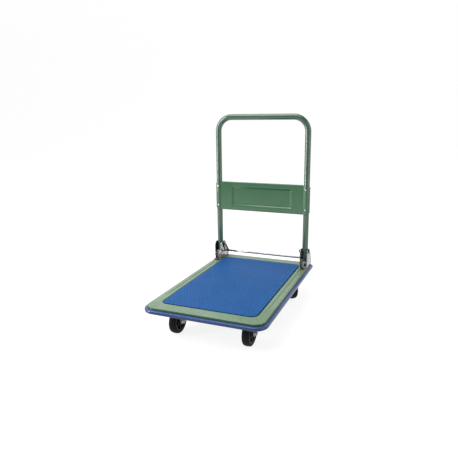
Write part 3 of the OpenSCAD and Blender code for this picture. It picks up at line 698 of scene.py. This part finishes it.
def bumper():
    """The edge bumper: a soft extruded section with a rolled top edge, swept round and butted at the rear."""
    low, high = millimetres("bumper_strip")
    width = high.x - DECK_X
    top, bottom = high.z - DECK_TOP, low.z - DECK_TOP
    profile = [(0.0, top), (0.7, top), (2.2, top - 0.3), (3.6, top - 1.0)]
    for k in range(1, 17):
        a = math.radians(78 - 150 * k / 16)
        centre_z = (top + bottom) / 2
        x = width - 6.6 + 6.6 * math.copysign(abs(math.cos(a)) ** 0.75, math.cos(a))
        z = centre_z + (top - bottom) / 2 * math.copysign(abs(math.sin(a)) ** 0.8, math.sin(a)) * 0.99
        profile.append((x, z))
    profile += [(1.5, bottom + 0.05), (-3.0, bottom), (-6.4, bottom + 0.1), (-7.0, bottom + 0.6),
                (-6.8, bottom + 1.6), (-5.5, bottom + 2.0), (-0.2, bottom + 2.0), (0.0, bottom + 2.4),
                (0.0, -10.0)]
    stations = deck_stations()
    outline = rounded_plan(DECK_X, -DECK_Y, DECK_Y, FRONT_R, REAR_R, stations)
    ends = len(stations["end"])
    middle = len(outline) - ends // 2
    outline = outline[middle:] + outline[:middle]
    gap = 0.35
    first = (-gap, DECK_Y)
    outline = [first] + [p for p in outline if p != (0.0, DECK_Y)] + [(gap, DECK_Y)]

    def outward(x, y):
        if y > 0:
            cx, cy = max(min(x, DECK_X - REAR_R), -DECK_X + REAR_R), min(y, DECK_Y - REAR_R)
        else:
            cx, cy = max(min(x, DECK_X - FRONT_R), -DECK_X + FRONT_R), max(y, -DECK_Y + FRONT_R)
        if abs(abs(x) - DECK_X) < 1e-4:
            return Vector((math.copysign(1, x), 0, 0))
        if abs(abs(y) - DECK_Y) < 1e-4:
            return Vector((0, math.copysign(1, y), 0))
        return Vector((x - cx, y - cy, 0)).normalized()

    vertices = []
    for x, y in outline:
        n = outward(x, y)
        for out, z in profile:
            vertices.append((x + n.x * out, y + n.y * out, DECK_TOP + z))
    faces = stitch(len(outline), len(profile), closed_columns=True)
    faces.append(tuple(range(len(profile))))
    faces.append(tuple(reversed([(len(outline) - 1) * len(profile) + k for k in range(len(profile))])))
    add_mesh("bumper_sweep", vertices, faces, "bumper_vinyl", "root", ["bumper_strip"], 60)


# ---------------------------------------------------------------- handle


def handle_sweep():
    """The bent handle tube, swept smoothly through both bends."""
    bend_r = 65.0
    leg_steps, bend_steps = 30, 24
    top = TUBE_HIGH.z - TUBE_R
    foot = TUBE_LOW.z
    leg = top - bend_r - foot
    path = [(-LEG_X, LEG_Y, foot + leg * k / leg_steps) for k in range(leg_steps)]
    for side in (-1, 1):
        for k in range(bend_steps + 1):
            a = math.pi / 2 * (k / bend_steps if side < 0 else 1 - k / bend_steps)
            x = side * (LEG_X - bend_r + bend_r * math.cos(a))
            path.append((x, LEG_Y, top - bend_r + bend_r * math.sin(a)))
    path += [(LEG_X, LEG_Y, top - bend_r - leg * k / leg_steps) for k in range(1, leg_steps + 1)]
    vertices, faces = sweep(path, TUBE_R, 56)
    # the tube keeps the handle paint's slot but is drawn with the copy whose base colour holds painted
    # reflection
    add_mesh("handle_sweep", vertices, faces, "handle_paint", "handle", ["handle_tube"], 60, "tube_sheen_paint")


def panel_sheet():
    """The pressed cross panel: saddles round the legs, folded lips and a pressed-back field."""
    sheet = 1.5
    saddle = TUBE_R + sheet
    face_y = PANEL_LOW.y + 4.5
    bottom, top = PANEL_LOW.z, PANEL_HIGH.z
    middle = (bottom + top) / 2
    field_x, field_z, slope, depth = LEG_X - 67.0, (top - bottom) / 2 - 20.0, 8.0, 5.0
    crease_x = LEG_X - math.sqrt(saddle ** 2 - (LEG_Y - face_y) ** 2)

    half = [0.0]
    half += [field_x * k / 14 for k in range(1, 13)]
    half += [field_x - slope + v for v in (-2, -1, 0, 1, 2.5)]
    half += [field_x + v for v in (-4, -2.5, -1, 0, 1, 2)]
    half += [field_x + 2 + (crease_x - field_x - 4.5) * k / 9 for k in range(1, 10)]
    half = sorted(h for h in set(half) if h < crease_x - 2)
    plan = [(x, face_y) for x in half]
    start = math.degrees(math.asin((LEG_Y - face_y) / saddle))
    plan += [(crease_x - 1.2, face_y - 0.02), (crease_x - 0.35, face_y - 0.35)]
    for k in range(1, 27):
        a = math.radians(180 + start + (180 - start) * k / 26)
        plan.append((LEG_X + saddle * math.cos(a), LEG_Y + saddle * math.sin(a)))
    plan = [(-x, y) for x, y in reversed(plan[1:])] + plan

    levels = [0.0, 0.4, 1.0, 2.0, 4.0]
    inner = []
    for edge in (field_z, field_z - slope):
        inner += [edge + 1.4, edge + 0.5, edge - 0.5, edge - 1.4]
    inner.append(field_z - slope / 2)
    rows = [middle - v for v in inner] + [middle + v for v in inner]
    rows += [bottom + v for v in levels] + [top - v for v in levels]
    rows += [middle + field_z * 0.7 * k / 7 for k in range(-7, 8)]
    rows += [bottom + 8, bottom + 13, top - 8, top - 13]
    rows = sorted(set(round(v, 3) for v in rows))

    fold_r = 2.6
    lip_back = 11.0 - sheet
    folds = [(fold_r, 0.0)]
    for k in range(1, 6):
        a = math.radians(90 * k / 5)
        folds.append((fold_r * (1 - math.sin(a)), fold_r * (1 - math.cos(a))))
    folds.append((0.0, lip_back))

    def pressed(x, z):
        """How far the field is pressed back at a point, with the ends of its slope softened."""
        depth_x = (field_x - abs(x)) / slope
        depth_z = (field_z - abs(z - middle)) / slope
        share = min(depth_x, depth_z)
        soft = 0.12
        share = min(max(share, -soft), 1 + soft)
        if 0.2 <= share <= 0.8:
            return depth * share
        return depth * smooth((share + soft) / (1 + 2 * soft))

    chamfer_run, chamfer_rise = 16.0, 7.5
    vertices = []
    for x, y in plan:
        column = []
        chamfer = max(abs(x) - LEG_X + 1.0, 0.0) / chamfer_run * chamfer_rise
        has_lip = abs(x) < LEG_X - saddle - 1.0
        low, high = bottom + chamfer, top - chamfer
        span = (high - low) / (top - bottom)
        if has_lip:
            for up, back in reversed(folds):
                column.append((x, y + back, bottom + up))
        else:
            column += [(x, y, low + fold_r * span * k / len(folds)) for k in range(len(folds))]
        for z in rows:
            if bottom + fold_r + 0.2 < z < top - fold_r - 0.2:
                column.append((x, y + pressed(x, z), low + (z - bottom) * span))
        if has_lip:
            for up, back in folds:
                column.append((x, y + back, top - up))
        else:
            for k in reversed(range(len(folds))):
                column.append((x, y, high - fold_r * span * k / len(folds)))
        vertices += column
    faces = stitch(len(plan), len(vertices) // len(plan))
    made = add_mesh("panel_sheet", vertices, faces, "handle_paint", "handle", ["cross_panel"], 60)
    thick = made.modifiers.new("sheet", "SOLIDIFY")
    thick.thickness = sheet * MM
    thick.offset = -1.0
    thick.use_even_offset = True


# ---------------------------------------------------------------- springs


def spring(name, node):
    """A close-wound return spring with its two hooks, from the pivot bolt's groove to the release bar."""
    low, high = millimetres(node)
    x = (low.x + high.x) / 2
    bar = Vector((x, (BAR_LOW.y + BAR_HIGH.y) / 2, (BAR_LOW.z + BAR_HIGH.z) / 2))
    bolt = Vector((x, LEG_Y, PIVOT_Z))
    along = (bar - bolt).normalized()
    across = Vector((1, 0, 0))
    other = along.cross(across)
    wire, coil_r = 0.8, 3.2
    hook_top, hook_low = 5.3, 5.5
    length = (bar - bolt).length
    start, stop = 11.5, length - 11.5
    path = []
    for k in range(22):
        a = math.radians(-150 + 300 * k / 21)
        path.append(bolt - along * math.cos(a) * hook_top + other * math.sin(a) * hook_top)
    for k in range(1, 5):
        share = k / 5
        path.append(path[21].lerp(bolt + along * start + other * coil_r, share))
    turns = (stop - start) / (2 * wire + 0.22)
    steps = int(turns * 18)
    for k in range(steps + 1):
        a = 2 * math.pi * turns * k / steps
        place = bolt + along * (start + (stop - start) * k / steps)
        path.append(place + other * coil_r * math.cos(a) + across * coil_r * math.sin(a))
    leave = path[-1].copy()
    hook_end = math.radians(150)
    first = bar + along * math.cos(hook_end) * hook_low + other * math.sin(-hook_end) * hook_low
    for k in range(1, 5):
        path.append(leave.lerp(first, k / 5))
    for k in range(22):
        a = math.radians(-150 + 300 * k / 21)
        path.append(bar + along * math.cos(a) * hook_low + other * math.sin(a) * hook_low)
    vertices, faces = sweep(path, wire, 8)
    made = add_mesh(name, vertices, faces, "chrome", None, [node], 60)
    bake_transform(made)


# ---------------------------------------------------------------- wheels


def tyre(name, node, body):
    """A moulded tyre: crowned tread with a parting line, rounded shoulders and ringed side walls."""
    low, high = millimetres(node)
    centre = (low + high) / 2
    radius = (high.z - low.z) / 2
    axis_angle = math.radians(CASTER_TURN) if name.startswith("rear") else 0.0
    core, crown = 38.0, 42.0  # radii of the wheel core and of the tread's crown
    profile = []

    def tread(offset):
        return radius - crown + math.sqrt(crown * crown - offset * offset)

    for offset in [10.4, 9, 7, 5, 3, 1.2, 0.6, 0.25, 0, -0.25, -0.6, -1.2, -3, -5, -7, -9, -10.4]:
        bead = 0.0 if abs(offset) > 0.3 else -0.25
        profile.append((-offset, tread(offset) + bead))
    shoulder = [(11.6, 0.35), (12.6, 1.1), (13.3, 2.2), (13.8, 3.4)]
    wall = [(14.0, radius - 5.2), (14.0, radius - 6.4), (13.55, radius - 6.8), (13.55, radius - 7.6),
            (14.0, radius - 8.0), (14.0, radius - 9.2), (13.7, radius - 9.6), (13.7, radius - 10.6),
            (13.0, core + 0.6), (12.2, core)]
    right = [(offset, tread(10.4) - drop) for offset, drop in shoulder] + wall
    profile = profile + right + [(-offset, r) for offset, r in reversed(right)]
    vertices, faces = lathe(profile, centre, axis_angle, 96)
    add_mesh(name + "_moulded", vertices, faces, "tyre_rubber", body, [node], 42)


# ---------------------------------------------------------------- build


make_camera()
make_light()
make_floor()
MATERIALS = make_materials()


def paint_nodes():
    """Each CAD node takes its slot's material, and its sharp edges are broken with a small bevel."""
    sheet_parts = ("rear_fork", "front_fork", "hinge", "rear_top")
    for part in frame["record"]["subparts"]:
        item = NODES[part["node"]]
        item.data.materials.clear()
        item.data.materials.append(MATERIALS[part["material_slot"]])
        weld = item.modifiers.new("weld", "WELD")
        weld.merge_threshold = 0.005 * MM
        bevel = item.modifiers.new("broken_edges", "BEVEL")
        bevel.width = (0.5 if part["node"].startswith(sheet_parts) else 0.3) * MM
        bevel.segments = 2
        bevel.limit_method = "ANGLE"
        bevel.angle_limit = math.radians(40)
        bevel.harden_normals = False
        item.data.shade_smooth()
        item.data.set_sharp_from_angle(angle=math.radians(38))


paint_nodes()
deck_shell()
mat_sheet()
bumper()
handle_sweep()
panel_sheet()
for word in ("left", "right"):
    spring("coil_spring_" + word, "release_spring_" + word)
    tyre("front_" + word, "front_tyre_" + word, "front_wheel_" + word)
    tyre("rear_" + word, "rear_tyre_" + word, "rear_wheel_" + word)
